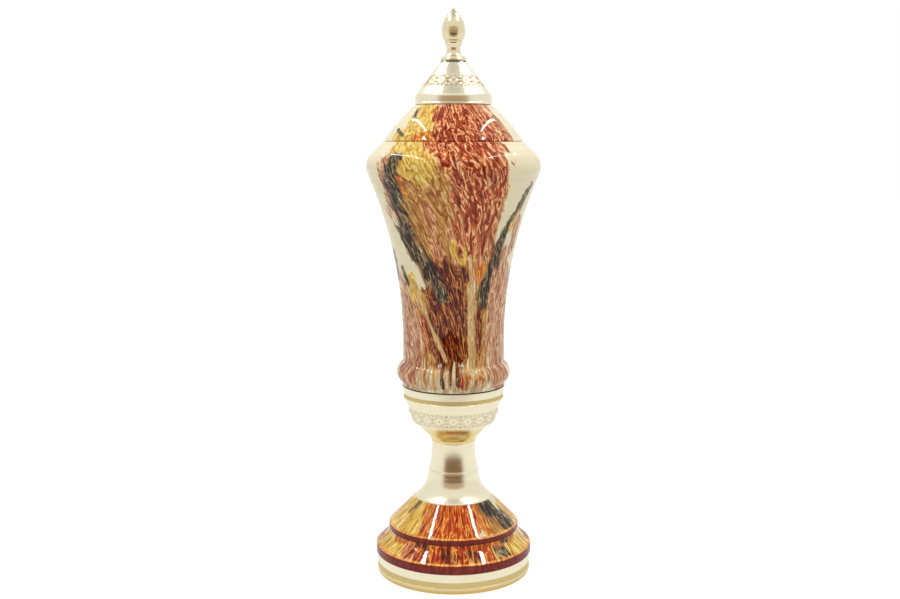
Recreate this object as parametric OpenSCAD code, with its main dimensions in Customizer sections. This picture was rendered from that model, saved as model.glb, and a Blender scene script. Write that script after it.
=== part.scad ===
// Covered presentation cup. A turned wooden foot, a spun metal stem and bowl and a
// hollow turned cup are drawn together by one tie rod. The metal lid is filled by a
// wooden core, whose plug sits in the mouth, and lifts off by its finial.
// Millimetres, +Z up. The origin is the centre of the felt pad's underside.

/* [Foot] */
// Diameter of the spun metal ring round the bottom of the foot
ring_d = 124.2; // [118:0.2:125]
// Height of that ring
ring_h = 16.1; // [15:0.1:24]
// Metal thickness of the ring
ring_wall = 1; // [0.8:0.1:1.6]
// Width of the lip turned in under the ring
ring_lip_w = 6; // [4:0.5:9]
// Outside radius of the ring's bottom corner
ring_corner_r = 2; // [1.8:0.1:3]
// Height of the sunk satin band above the ring's bottom
ring_band_z = 4.8; // [4:0.1:6]
// Width of the sunk satin band
ring_band_w = 4.8; // [3:0.1:6]
// Depth of the sunk satin band
ring_band_depth = 0.3; // [0.15:0.05:0.5]
// How far the felt stands below the ring
felt_proud = 0.5; // [0.3:0.1:0.9]
// Thickness of the wooden disc that closes the foot
disc_t = 12; // [10.5:0.5:13]
// Diameter of the wooden foot's lower rim
rim_d = 126.2; // [125.4:0.2:136]
// Height of the lower rim
rim_h = 7.6; // [6:0.1:8]
// Diameter of the foot's upper tier
tier_d = 105.2; // [100:0.2:110]
// Height of the upper tier's face
tier_h = 4.4; // [3.5:0.1:6]
// Height of the upper tier's top above the ring
tier_z = 24.4; // [23.8:0.1:28]
// Radius of the arrises of the rim and the tier
arris_r = 1; // [0.6:0.1:1.4]
// Radius of the cove under the tier
cove_r = 7; // [5:0.5:8]
// Depth that the cove is cut in behind the tier's face
cove_in = 0.3; // [0.2:0.1:1.5]
// Slope of the cone above the rim, from the vertical
rim_slope = 43.5; // [42:0.5:45]
// Diameter of the foot's flat top
foot_top_d = 62.6; // [62.4:0.2:66]
// Height of the wooden foot above the ring
foot_h = 45.4; // [44:0.1:52]

/* [Stem] */
// Diameter of the bell's rim on the foot
bell_d = 62.2; // [60:0.2:62.4]
// Height of the bell's rim
bell_rim_h = 1; // [0.6:0.1:1.6]
// Diameter of the bell at its top
bell_neck_d = 41.2; // [40.4:0.2:43]
// Height of the bell
bell_h = 23; // [22.2:0.1:27]
// Slope of the bell's flare at its rim, from the vertical
bell_flare = 53; // [53:1:64]
// Metal thickness of the bell, the tube and the bowl
spun_wall = 1.2; // [1:0.1:1.5]
// Diameter of the tube where it stands on the bell
tube_foot_d = 39.8; // [38.6:0.2:40.2]
// Diameter of the tube at its top
tube_top_d = 35; // [33:0.2:36]
// Height of the tube
tube_h = 23.3; // [18:0.1:32]
// Height of the low bosses that centre the bell and the tube
boss_h = 2; // [1.4:0.1:3]

/* [Bowl] */
// How far the bowl's rounded lip stands out beyond its straight band
bowl_lip_out = 0.7; // [0.4:0.1:1.5]
// Height of the lip
bowl_lip_h = 2; // [1.6:0.1:2.6]
// Diameter of the bowl's straight band
bowl_d = 81; // [79:0.2:81.4]
// Height of the straight band under the lip
bowl_band_h = 7.5; // [6.5:0.1:9]
// Width of the satin groove at the bottom of that band
bowl_groove_w = 3.5; // [2.5:0.1:4.5]
// Depth of the satin groove
bowl_groove_depth = 0.35; // [0.15:0.05:0.5]
// Height of the shoulder under the band
bowl_shoulder_h = 7.6; // [6:0.1:9]
// Diameter at the top of the ornament
bowl_waist_d = 73.4; // [71:0.2:76]
// Height of the ornamented wall
bowl_wall_h = 13.1; // [11:0.1:15]
// Diameter at the bottom of the ornament
bowl_base_d = 65.2; // [62:0.2:67]
// How far the ornamented wall bulges
bowl_bulge = 0.8; // [0.2:0.1:1.6]
// Diameter of the bowl's neck on the tube
bowl_neck_d = 36; // [35.2:0.2:37]
// Height of the straight collar at the foot of that neck
bowl_collar_h = 1.2; // [0.8:0.1:2]
// Height of the bowl from the tube to its lip
bowl_h = 45.8; // [43:0.1:54]
// Thickness of the black ring between bowl and cup
gasket_t = 0.7; // [0.5:0.1:1.2]

/* [Cup] */
// Height of the cup, from the black ring to the crease under the dome
cup_h = 192.8; // [186:0.2:206]
// How far the cup's foot stands back from the bowl's lip
cup_foot_back = 0.1; // [0:0.1:0.6]
// How far the bead stands out beyond the cup's foot
bead_out = 4.5; // [3.5:0.1:5.5]
// Radius of the bead
bead_r = 9.8; // [9:0.1:10.2]
// Height of the bead's widest line above the black ring
bead_z = 10.4; // [10:0.1:13]
// Diameter of the straight stretch above the bead
waist_d = 81; // [78:0.2:82]
// Height above the black ring where the wall starts to flare
flare_z = 35.2; // [28:0.2:42]
// Radius of the flare
flare_r = 342; // [320:1:380]
// Height of the shoulder, from the widest line to the crease
shoulder_h = 19.1; // [17:0.1:23]
// Radius of the rounding at the widest line
belly_r = 13.5; // [11:0.5:16]
// Slope of the shoulder above it, from the vertical
shoulder_slope = 46; // [44:0.5:48]
// Thickness of the cup's wall
cup_wall = 8; // [6:0.5:9]
// Thickness of the cup's floor above the black ring
floor_t = 9.5; // [8:0.5:14]
// Radius between the cup's floor and its wall
floor_r = 6; // [3:0.5:9]
// Length of the spigot that sits in the bowl
spigot_h = 8; // [5:0.5:8.5]

/* [Dome] */
// Height of the dome from the crease to the mouth
dome_h = 28.1; // [26:0.1:32]
// Height of the upright edge at the dome's foot
dome_edge_h = 0.6; // [0.4:0.1:1.5]
// How far the dome's edge stands back from the cup at the crease
crease_step = 0.5; // [0.3:0.1:0.8]
// Diameter of the dome at its top
dome_top_d = 60; // [59:0.2:63]
// Radius of the dome's outline
dome_r = 125; // [90:5:200]
// Thickness of the dome
dome_wall = 7; // [6:0.5:8]
// Depth of the spigot that is glued into the cup
dome_spigot_h = 6; // [4:0.5:7]
// Diameter of the mouth
mouth_d = 45; // [42:0.5:47]
// Length of the mouth's straight bore
mouth_h = 9; // [7:0.5:10]

/* [Lid] */
// Diameter of the cap's upright band
cap_d = 59.6; // [58:0.2:60]
// Height of the cap's upright band
cap_band_h = 5.6; // [5:0.1:8]
// Height of the bead round the cap's rim
cap_bead_h = 1.6; // [1.2:0.1:2]
// How far that bead stands out of the band
cap_bead_out = 0.35; // [0.2:0.05:0.5]
// Radius of the rounding above the band
cap_round_r = 3.8; // [3:0.1:4.2]
// Diameter of the cap's flat top
cap_top_d = 20.8; // [20.2:0.2:22]
// Height of the cap from its rim to its flat top
cap_h = 32.3; // [30:0.1:38]
// Metal thickness of the cap
cap_wall = 0.9; // [0.7:0.1:1.1]
// Gap that the lid keeps above the dome
lid_gap = 0.4; // [0.2:0.05:0.5]
// Thickness of the felt ring under the lid
pad_t = 1.2; // [1:0.1:1.6]
// Gap round the plug in the mouth
plug_fit = 0.35; // [0.3:0.05:0.6]
// Length of the plug below the mouth's edge
plug_h = 16; // [14:0.5:20]
// Bevel at the end of the plug
plug_bevel = 1; // [0.5:0.1:2]

/* [Finial] */
// Height of the finial
finial_h = 40.6; // [38:0.1:48]
// Diameter of the finial's foot
finial_foot_d = 19.8; // [18.4:0.2:20]
// Height of that foot
finial_foot_h = 3.2; // [2.4:0.1:3.6]
// Diameter of the neck
finial_neck_d = 10.3; // [9.6:0.1:11]
// Height of the neck's narrowest line above the foot's underside
finial_neck_z = 9.4; // [8:0.1:10.4]
// Diameter of the collar under the bud
finial_collar_d = 13.7; // [13:0.1:15]
// Height of the collar's widest line above the foot's underside
finial_collar_z = 14.4; // [13.6:0.1:16]
// Depth of the crease between collar and bud
finial_crease = 0.4; // [0.2:0.1:0.7]
// Diameter of the bud
bud_d = 18; // [17:0.2:20]
// Height of the bud's widest line above the foot's underside
bud_z = 23.1; // [21.5:0.1:26]
// Fullness of the bud's point: 2 is a parabola
bud_fullness = 2.1; // [1.8:0.1:3]
// Thickness of the black washer under the finial
finial_washer_t = 1; // [0.5:0.1:1.4]

/* [Fasteners] */
// Diameter of the tie rod
rod_d = 6; // [5:0.5:6]
// Diameter of the lid's stud
stud_d = 5; // [4:0.5:5]
// Width of a nut across its flats, as a multiple of its thread
nut_af = 1.65; // [1.6:0.01:1.7]
// Height of a nut, as a multiple of its thread
nut_h = 0.8; // [0.75:0.01:0.9]
// Diameter of the tie rod's washers
rod_washer_d = 18; // [16:0.5:20]
// Diameter of the stud's washer
stud_washer_d = 13; // [12:0.5:14]
// Thickness of the washers
washer_t = 1.2; // [1:0.1:1.6]
// Thread left standing past each nut
thread_over = 1.5; // [0.5:0.5:2]
// Length of the stud's thread inside the finial
finial_thread = 8; // [6:0.5:9]

/* [Fits] */
// Gap all round between pieces that slip together
fit = 0.15; // [0.1:0.05:0.25]
// Gap between a thread and its nut
thread_fit = 0.05; // [0.03:0.01:0.1]
// Gap between a rod and a hole that it passes
hole_fit = 0.3; // [0.2:0.1:0.5]
// Gap round a washer in its pocket
pocket_fit = 1; // [0.5:0.5:1.5]

/* [Hidden] */
$fn = 128;
// How far a cutting tool runs past the face that it leaves
over = 1;

lacquer = "#a8522c";
plate = "#d8cfa8";
steel = "#9a9a96";
felt = "#26402f";
rubber = "#1d1a17";
raw_wood = "#b58d5a";

// Heights, from the floor up
z_ring = felt_proud;
z_disc = z_ring + ring_wall;
z_spigot = z_disc + disc_t;
z_rim = z_ring + ring_h;
z_foot = z_rim + foot_h;
z_tube = z_foot + bell_h;
z_bowl = z_tube + tube_h;
z_gasket = z_bowl + bowl_h;
z_cup = z_gasket + gasket_t;
z_floor = z_cup + floor_t;
z_dome = z_cup + cup_h;
z_mouth = z_dome + dome_h;
z_lid = z_mouth + lid_gap;
z_plug = z_mouth - plug_h;
z_cap_top = z_lid + cap_h;
z_finial = z_cap_top + finial_washer_t;

// Radii that several pieces share
ring_in_r = ring_d / 2 - ring_wall;
bowl_in_r = bowl_d / 2 - bowl_groove_depth - spun_wall;
bowl_lip_r = bowl_d / 2 + bowl_lip_out;
rod_r = rod_d / 2;
stud_r = stud_d / 2;
plug_r = mouth_d / 2 - plug_fit;
cap_in_r = cap_d / 2 - cap_wall;

// Nuts, and the pockets that they sit in
rod_nut_z = z_disc + felt_proud + thread_over;
rod_pocket_r = rod_washer_d / 2 + pocket_fit;
rod_pocket_top = rod_nut_z + rod_d * nut_h + washer_t;
stud_nut_z = z_plug + pocket_fit + thread_over;
stud_pocket_r = stud_washer_d / 2 + pocket_fit;
stud_pocket_top = stud_nut_z + stud_d * nut_h + washer_t;

// Points of an arc round a centre [r, z], from angle a to angle b
function arc(centre, radius, a, b, steps) = [
    for (i = [0 : steps])
        let (t = a + (b - a) * i / steps)
        centre + radius * [cos(t), sin(t)]
];

// Radius of that circle's near side at height z, where it bulges toward the axis
function near_side(centre, radius, z) =
    centre[0] - sqrt(pow(radius, 2) - pow(centre[1] - z, 2));

// A list of points, back to front
function reversed(points) = [for (i = [len(points) - 1 : -1 : 0]) points[i]];

// A solid of revolution from its half outline [r, z]
module turned(outline) {
    rotate_extrude() polygon(outline);
}

// A hole down the axis, from height low to height high
module bore(radius, low, high) {
    translate([0, 0, low - over]) cylinder(r = radius, h = high - low + 2 * over);
}

// A blind pocket, open downward at height low
module pocket(radius, low, high) {
    translate([0, 0, low - over]) cylinder(r = radius, h = high - low + over);
}

// A flat ring that lies at height z
module ring(outer, inner, z, thickness) {
    difference() {
        translate([0, 0, z]) cylinder(r = outer, h = thickness);
        bore(inner, z, z + thickness);
    }
}

// A hexagon nut for a thread of diameter d, at height z
module nut(d, z) {
    difference() {
        translate([0, 0, z]) cylinder(r = d * nut_af / sqrt(3), h = d * nut_h, $fn = 6);
        bore(d / 2 + thread_fit, z, z + d * nut_h);
    }
}

// ---- Foot ----

module base_felt() {
    color(felt) cylinder(r = ring_d / 2 - ring_lip_w - fit, h = z_disc);
}

// Spun ring: a lip turned in under the disc, a rounded corner and a sunk satin band
module base_ring() {
    r = ring_d / 2;
    lip_r = r - ring_lip_w;
    corner = [r - ring_corner_r, z_ring + ring_corner_r];
    sunk_r = r - ring_band_depth;
    band_z = z_ring + ring_band_z;
    color(plate) turned(concat(
        [[lip_r, z_ring]],
        arc(corner, ring_corner_r, -90, 0, 6),
        [
            [r, band_z], [sunk_r, band_z + ring_band_depth],
            [sunk_r, band_z + ring_band_w - ring_band_depth], [r, band_z + ring_band_w],
            [r, z_rim], [ring_in_r, z_rim]
        ],
        arc(corner, ring_corner_r - ring_wall, 0, -90, 6),
        [[lip_r, z_disc]]
    ));
}

// Disc that lies on the ring's lip, with a pocket below for the tie rod's nut
module base_disc() {
    r = ring_in_r - fit;
    color(raw_wood) difference() {
        turned([
            [0, z_disc], [r - ring_corner_r, z_disc], [r, z_disc + ring_corner_r],
            [r, z_spigot], [0, z_spigot]
        ]);
        bore(rod_r + hole_fit, z_disc, z_spigot);
        pocket(rod_pocket_r, z_disc, rod_pocket_top);
    }
}

// Turned foot: a spigot in the ring, the rim, a cone that ends in a cove, the upper
// tier, a second cone, and a low boss that centres the bell
module base() {
    rim_r = rim_d / 2;
    tier_r = tier_d / 2;
    cove_wall_r = tier_r - cove_in;
    boss_r = near_side(bell_arc_c, bell_arc_r + spun_wall, z_foot + boss_h) - fit;
    rim_top = z_rim + rim_h;
    tier_top = z_rim + tier_z;
    tier_foot = tier_top - tier_h;
    // The cove turns the lower cone up to the vertical
    cove = [cove_wall_r + cove_r, tier_foot];
    cove_foot = cove - cove_r * [cos(rim_slope), sin(rim_slope)];
    arris_c = [rim_r - arris_r, rim_top - arris_r];
    arris_end = arris_c + arris_r * [cos(90 - rim_slope), sin(90 - rim_slope)];
    upper_slope = atan2(tier_r - arris_r - foot_top_d / 2, z_foot - tier_top);
    color(lacquer) difference() {
        turned(concat(
            [
                [0, z_spigot], [ring_in_r - fit, z_spigot], [ring_in_r - fit, z_rim],
                [rim_r - arris_r, z_rim]
            ],
            arc([rim_r - arris_r, z_rim + arris_r], arris_r, -90, 0, 4),
            arc(arris_c, arris_r, 0, 90 - rim_slope, 3),
            arc(cove, cove_r, 180 + rim_slope, 180, 8),
            [[tier_r - arris_r / 2, tier_foot]],
            [[tier_r, tier_foot + arris_r / 2]],
            arc([tier_r - arris_r, tier_top - arris_r], arris_r, 0, 90 - upper_slope, 3),
            [
                [foot_top_d / 2, z_foot], [boss_r, z_foot], [boss_r, z_foot + boss_h],
                [0, z_foot + boss_h]
            ]
        ));
        bore(rod_r + hole_fit, z_spigot, z_foot + boss_h);
    }
}

// ---- Stem ----

bell_neck_r = bell_neck_d / 2;
bell_arc_r = (bell_d / 2 - bell_neck_r) / (1 - cos(bell_flare));
bell_arc_c = [bell_neck_r + bell_arc_r, z_foot + bell_rim_h + bell_arc_r * sin(bell_flare)];
tube_spread = (tube_foot_d - tube_top_d) / 2;
tube_arc_r = (pow(tube_spread, 2) + pow(tube_h, 2)) / (2 * tube_spread);
tube_arc_c = [tube_top_d / 2 + tube_arc_r, z_bowl];

// Bell-mouthed foot of the stem, closed at its top by a web with a centring boss
module stem_bell() {
    foot_in_r = near_side(bell_arc_c, bell_arc_r + spun_wall, z_foot);
    boss_r = near_side(tube_arc_c, tube_arc_r, z_tube + boss_h) - spun_wall - fit;
    web_z = z_tube - spun_wall;
    inside = [
        for (p = arc(bell_arc_c, bell_arc_r + spun_wall, 180, 180 + bell_flare, 14))
            if (p[1] < web_z && p[1] > z_foot + fit) p
    ];
    color(plate) difference() {
        turned(concat(
            [[foot_in_r, z_foot], [bell_d / 2, z_foot]],
            arc(bell_arc_c, bell_arc_r, 180 + bell_flare, 180, 14),
            [
                [bell_neck_r, z_tube], [boss_r, z_tube], [boss_r, z_tube + boss_h],
                [0, z_tube + boss_h], [0, web_z], [bell_neck_r - spun_wall, web_z]
            ],
            inside
        ));
        bore(rod_r + hole_fit, web_z, z_tube + boss_h);
    }
}

// Slightly waisted tube, closed at its top by a web
module stem_tube() {
    sweep = asin(tube_h / tube_arc_r);
    web_z = z_bowl - spun_wall;
    outside = arc(tube_arc_c, tube_arc_r, 180 + sweep, 180, 10);
    color(plate) difference() {
        turned(concat(
            outside,
            [[0, z_bowl], [0, web_z], [tube_top_d / 2 - spun_wall, web_z]],
            [for (p = reversed(outside)) if (p[1] < web_z) p - [spun_wall, 0]]
        ));
        bore(rod_r + hole_fit, web_z, z_bowl);
    }
}

// ---- Bowl ----

bowl_band_z = z_gasket - bowl_lip_h - bowl_band_h;
bowl_waist_z = bowl_band_z - bowl_shoulder_h;
bowl_base_z = bowl_waist_z - bowl_wall_h;
// Share of a plain cone in the neck's outline; the rest is a cubic
neck_blend = 0.6;

// The bowl's side, from its neck to the foot of its straight band; inset moves it inward.
// The neck swells ever faster to the crease, and the ornamented wall bulges slightly.
function bowl_side(inset) =
    let (
        neck_r = bowl_neck_d / 2 - inset,
        base_r = bowl_base_d / 2 - inset,
        waist_r = bowl_waist_d / 2 - inset,
        neck_z = z_bowl + bowl_collar_h
    )
    concat(
        [for (i = [0 : 8]) let (t = i / 8)
            [neck_r + (base_r - neck_r) * (neck_blend * t + (1 - neck_blend) * pow(t, 3)),
             neck_z + (bowl_base_z - neck_z) * t]],
        [for (i = [1 : 6]) let (t = i / 6)
            [base_r + (waist_r - base_r) * t + bowl_bulge * sin(180 * t),
             bowl_base_z + bowl_wall_h * t]]
    );

module bowl() {
    band_r = bowl_d / 2;
    groove_r = band_r - bowl_groove_depth;
    lip_round = bowl_lip_h / 2;
    color(plate) difference() {
        turned(concat(
            [[0, z_bowl], [bowl_neck_d / 2, z_bowl]],
            bowl_side(0),
            [
                [band_r, bowl_band_z], [groove_r, bowl_band_z + bowl_groove_depth],
                [groove_r, bowl_band_z + bowl_groove_w - bowl_groove_depth],
                [band_r, bowl_band_z + bowl_groove_w], [band_r, z_gasket - bowl_lip_h]
            ],
            arc([bowl_lip_r - lip_round, z_gasket - lip_round], lip_round, -60, 90, 8),
            [[bowl_in_r, z_gasket], [bowl_in_r, bowl_band_z]],
            reversed(bowl_side(spun_wall)),
            [[bowl_neck_d / 2 - spun_wall, z_bowl + spun_wall], [0, z_bowl + spun_wall]]
        ));
        bore(rod_r + hole_fit, z_bowl, z_bowl + spun_wall);
    }
}

module bowl_gasket() {
    color(rubber) ring(bowl_lip_r, bowl_in_r, z_gasket, gasket_t);
}

// ---- Cup ----

waist_r = waist_d / 2;
// The flare leaves the vertical at its foot and runs on into the rounding of the belly
flare_c = [waist_r + flare_r, z_cup + flare_z];
belly_z = z_dome - shoulder_h;
join_a = asin((belly_z - flare_c[1]) / (flare_r + belly_r));
belly_c = [waist_r + (flare_r + belly_r) * (1 - cos(join_a)) - belly_r, belly_z];
// The shoulder is straight from there to the crease
shoulder_foot = belly_c + belly_r * [cos(shoulder_slope), sin(shoulder_slope)];
crease_r = shoulder_foot[0] - (z_dome - shoulder_foot[1]) * tan(shoulder_slope);
seat_r = crease_r - cup_wall;

// The cup's flank, from the foot of the flare to the foot of the shoulder
function flank(inset) = concat(
    arc(flare_c, flare_r + inset, 180, 180 - join_a, 14),
    arc(belly_c, belly_r - inset, -join_a, shoulder_slope, 10)
);

module cup() {
    foot_r = bowl_lip_r - cup_foot_back;
    spigot_r = bowl_in_r - fit;
    bead_c = [foot_r + bead_out - bead_r, z_cup + bead_z];
    bead_low = -acos((foot_r - bead_c[0]) / bead_r);
    bead_high = acos((waist_r - bead_c[0]) / bead_r);
    inner_r = waist_r - cup_wall;
    // The inside follows the flank, then the shoulder as far as the dome's seat
    inside = flank(cup_wall);
    seat_z = z_dome - dome_spigot_h - fit;
    shoulder_in = inside[len(inside) - 1];
    ledge_r = shoulder_in[0] - (seat_z - shoulder_in[1]) * tan(shoulder_slope);
    color(lacquer) difference() {
        turned(concat(
            [[0, z_cup - spigot_h], [spigot_r, z_cup - spigot_h], [spigot_r, z_cup], [foot_r, z_cup]],
            arc(bead_c, bead_r, bead_low, bead_high, 18),
            flank(0),
            [[crease_r, z_dome], [seat_r, z_dome], [seat_r, seat_z], [min(ledge_r, seat_r), seat_z]],
            reversed(inside),
            arc([inner_r - floor_r, z_floor + floor_r], floor_r, 0, -90, 6),
            [[0, z_floor]]
        ));
        bore(rod_r + hole_fit, z_cup - spigot_h, z_floor);
    }
}

// ---- Dome ----

// Circle of radius dome_r through the dome's foot and its top
dome_foot = [crease_r - crease_step, z_dome + dome_edge_h];
dome_head = [dome_top_d / 2, z_mouth];
dome_chord = dome_head - dome_foot;
dome_c = (dome_head + dome_foot) / 2
    + sqrt(dome_r * dome_r - dome_chord * dome_chord / 4) / norm(dome_chord)
    * [-dome_chord[1], dome_chord[0]];
dome_low = atan2(dome_foot[1] - dome_c[1], dome_foot[0] - dome_c[0]);
dome_high = atan2(dome_head[1] - dome_c[1], dome_head[0] - dome_c[0]);

module dome() {
    mouth_r = mouth_d / 2;
    bore_z = z_mouth - mouth_h;
    spigot_r = seat_r - fit;
    spigot_in_r = spigot_r - dome_wall;
    inside = [
        for (p = arc(dome_c, dome_r - dome_wall, dome_high, dome_low, 14))
            if (p[0] > mouth_r && p[0] < spigot_in_r && p[1] < bore_z) p
    ];
    color(lacquer) turned(concat(
        [
            [spigot_in_r, z_dome - dome_spigot_h], [spigot_r, z_dome - dome_spigot_h],
            [spigot_r, z_dome], [dome_foot[0], z_dome]
        ],
        arc(dome_c, dome_r, dome_low, dome_high, 14),
        [[mouth_r, z_mouth], [mouth_r, bore_z]],
        inside
    ));
}

// ---- Lid ----

cap_r = cap_d / 2;
cap_round_c = [cap_r - cap_round_r, z_lid + cap_band_h];
// From the rounding's centre to the edge of the flat top
cap_reach = [cap_top_d / 2, z_cap_top] - cap_round_c;
// Angle on the rounding at which the cone leaves it, straight for that edge
cap_cone_a = atan2(cap_reach[1], cap_reach[0]) - acos(cap_round_r / norm(cap_reach));

// The cap from its band to the edge of its flat top; inset moves it inward
function cap_side(inset) = concat(
    arc(cap_round_c, cap_round_r - inset, 0, cap_cone_a, 5),
    [[cap_top_d / 2 - inset * (1 - sin(cap_cone_a)) / cos(cap_cone_a), z_cap_top - inset]]
);

module lid_pad() {
    color(felt) ring(cap_in_r - fit, mouth_d / 2 + fit, z_lid, pad_t);
}

// Turned core that fills the cap, its plug in the mouth, with a pocket for the stud's nut
module lid_core() {
    r = cap_in_r - fit;
    color(raw_wood) difference() {
        turned(concat(
            [
                [0, z_plug], [plug_r - plug_bevel, z_plug], [plug_r, z_plug + plug_bevel],
                [plug_r, z_lid + pad_t], [r, z_lid + pad_t]
            ],
            cap_side(cap_wall + fit),
            [[0, z_cap_top - cap_wall - fit]]
        ));
        bore(stud_r + hole_fit, z_plug, z_cap_top);
        pocket(stud_pocket_r, z_plug, stud_pocket_top);
    }
}

// Spun cap: a bead, an upright band, a rounding, a cone and a flat top
module lid_cap() {
    // Circle that stands cap_bead_out proud of the band over the bead's height
    bead_half = cap_bead_h / 2;
    bead_round = (bead_half * bead_half + cap_bead_out * cap_bead_out) / (2 * cap_bead_out);
    bead_a = asin(bead_half / bead_round);
    bead_c = [cap_r + cap_bead_out - bead_round, z_lid + bead_half];
    color(plate) difference() {
        turned(concat(
            [[cap_in_r, z_lid]],
            arc(bead_c, bead_round, -bead_a, bead_a, 6),
            cap_side(0),
            [[0, z_cap_top], [0, z_cap_top - cap_wall]],
            reversed(cap_side(cap_wall))
        ));
        bore(stud_r + hole_fit, z_cap_top - cap_wall, z_cap_top);
    }
}

// ---- Finial ----

module finial_washer() {
    color(rubber) ring(finial_foot_d / 2 - fit, stud_r + hole_fit, z_cap_top, finial_washer_t);
}

// Foot, neck, collar and pointed bud in one turned piece, tapped from below
module finial() {
    foot_r = finial_foot_d / 2;
    neck_r = finial_neck_d / 2;
    collar_r = finial_collar_d / 2;
    bud_r = bud_d / 2;
    edge = finial_foot_h / 4;
    rise = finial_neck_z - finial_foot_h;
    lift = finial_collar_z - finial_neck_z;
    collar_top = finial_collar_z + lift / 4;
    crease_r = collar_r - finial_crease;
    swell = bud_z - collar_top;
    tip = finial_h - bud_z;
    color(plate) difference() {
        translate([0, 0, z_finial]) turned(concat(
            [
                [0, 0], [foot_r - edge / 2, 0], [foot_r, edge / 2],
                [foot_r, finial_foot_h - 2 * edge], [foot_r - edge, finial_foot_h]
            ],
            // Cove from the foot up to the neck
            [for (i = [1 : 8]) let (a = 90 * i / 8)
                [neck_r + (foot_r - 1.5 * edge - neck_r) * (1 - sin(a)),
                 finial_foot_h + rise * (1 - cos(a))]],
            // Collar, widest at its own line, then the crease under the bud
            [for (i = [1 : 6]) let (t = i / 6)
                [neck_r + (collar_r - neck_r) * (1 - cos(180 * t)) / 2, finial_neck_z + lift * t]],
            [[crease_r, collar_top]],
            [for (i = [1 : 6]) let (a = 90 * i / 6)
                [crease_r + (bud_r - crease_r) * sin(a), collar_top + swell * (1 - cos(a))]],
            [for (i = [1 : 12]) let (t = i / 12)
                [bud_r * (1 - pow(t, bud_fullness)), bud_z + tip * t]]
        ));
        pocket(stud_r + thread_fit, z_finial, z_finial + finial_thread + over);
    }
}

// ---- Fasteners ----

module tie_rod() {
    bottom = rod_nut_z - thread_over;
    top = z_floor + washer_t + rod_d * nut_h + thread_over;
    color(steel) translate([0, 0, bottom]) cylinder(r = rod_r, h = top - bottom);
}

module rod_bottom_nut() {
    color(steel) nut(rod_d, rod_nut_z);
}

module rod_bottom_washer() {
    color(steel) ring(rod_washer_d / 2, rod_r + hole_fit, rod_pocket_top - washer_t, washer_t);
}

module rod_top_washer() {
    color(steel) ring(rod_washer_d / 2, rod_r + hole_fit, z_floor, washer_t);
}

module rod_top_nut() {
    color(steel) nut(rod_d, z_floor + washer_t);
}

module lid_stud() {
    bottom = stud_nut_z - thread_over;
    top = z_finial + finial_thread;
    color(steel) translate([0, 0, bottom]) cylinder(r = stud_r, h = top - bottom);
}

module lid_stud_nut() {
    color(steel) nut(stud_d, stud_nut_z);
}

module lid_stud_washer() {
    color(steel) ring(stud_washer_d / 2, stud_r + hole_fit, stud_pocket_top - washer_t, washer_t);
}

base_felt();
base_ring();
base_disc();
base();
rod_bottom_nut();
rod_bottom_washer();
tie_rod();
stem_bell();
stem_tube();
bowl();
bowl_gasket();
cup();
rod_top_washer();
rod_top_nut();
dome();
lid_pad();
lid_core();
lid_cap();
finial_washer();
finial();
lid_stud();
lid_stud_washer();
lid_stud_nut();
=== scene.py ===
import math

import bmesh
import bpy
import numpy as np
from mathutils import Matrix, Vector


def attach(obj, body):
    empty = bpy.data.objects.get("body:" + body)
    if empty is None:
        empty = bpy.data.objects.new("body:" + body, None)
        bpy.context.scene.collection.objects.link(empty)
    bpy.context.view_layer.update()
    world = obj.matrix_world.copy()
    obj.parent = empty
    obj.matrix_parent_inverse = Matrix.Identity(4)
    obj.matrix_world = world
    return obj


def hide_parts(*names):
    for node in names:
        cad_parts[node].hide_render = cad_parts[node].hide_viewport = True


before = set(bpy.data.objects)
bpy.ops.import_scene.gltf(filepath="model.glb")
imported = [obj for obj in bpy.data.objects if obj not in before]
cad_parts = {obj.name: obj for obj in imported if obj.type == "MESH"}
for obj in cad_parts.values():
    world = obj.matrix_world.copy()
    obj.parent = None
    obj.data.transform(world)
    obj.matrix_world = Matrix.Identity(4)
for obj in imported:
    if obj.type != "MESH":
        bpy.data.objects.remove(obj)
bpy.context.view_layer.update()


# ---- Felt pad ----
# A disc of dark green wool felt, glued under the wooden disc that closes the foot.
# The felt is needled, so it is matt, slightly mottled and fuzzy at its cut edge.

def linear(code):
    """sRGB hex code as linear red, green, blue, alpha."""
    parts = [int(code[i:i + 2], 16) / 255 for i in (1, 3, 5)]
    return [c / 12.92 if c <= 0.04045 else ((c + 0.055) / 1.055) ** 2.4 for c in parts] + [1]


def add(tree, kind, settings=None, **inputs):
    """Adds one node to a material, sets its properties and fills or links its inputs."""
    node = tree.nodes.new("ShaderNode" + kind)
    for key, value in (settings or {}).items():
        setattr(node, key, value)
    for key, value in inputs.items():
        name = key.replace("_", " ")
        socket = node.inputs[int(key[1:])] if key[0] == "i" and key[1:].isdigit() else node.inputs[name]
        if isinstance(value, bpy.types.NodeSocket):
            tree.links.new(value, socket)
        else:
            socket.default_value = value
    return node


def finish_of(name):
    """A new material with an empty tree and its output; returns material, tree, output."""
    material = bpy.data.materials.new(name)
    material.use_nodes = True
    material.node_tree.nodes.clear()
    return material, material.node_tree, material.node_tree.nodes.new("ShaderNodeOutputMaterial")


def dress(piece, material):
    """Puts one material on every face of a piece."""
    piece.data.materials.clear()
    piece.data.materials.append(material)


felt_green, felt_green_worn = "#26402f", "#35523f"

felt, tree, out = finish_of("wool_felt")
place = add(tree, "TexCoord").outputs["Object"]
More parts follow.
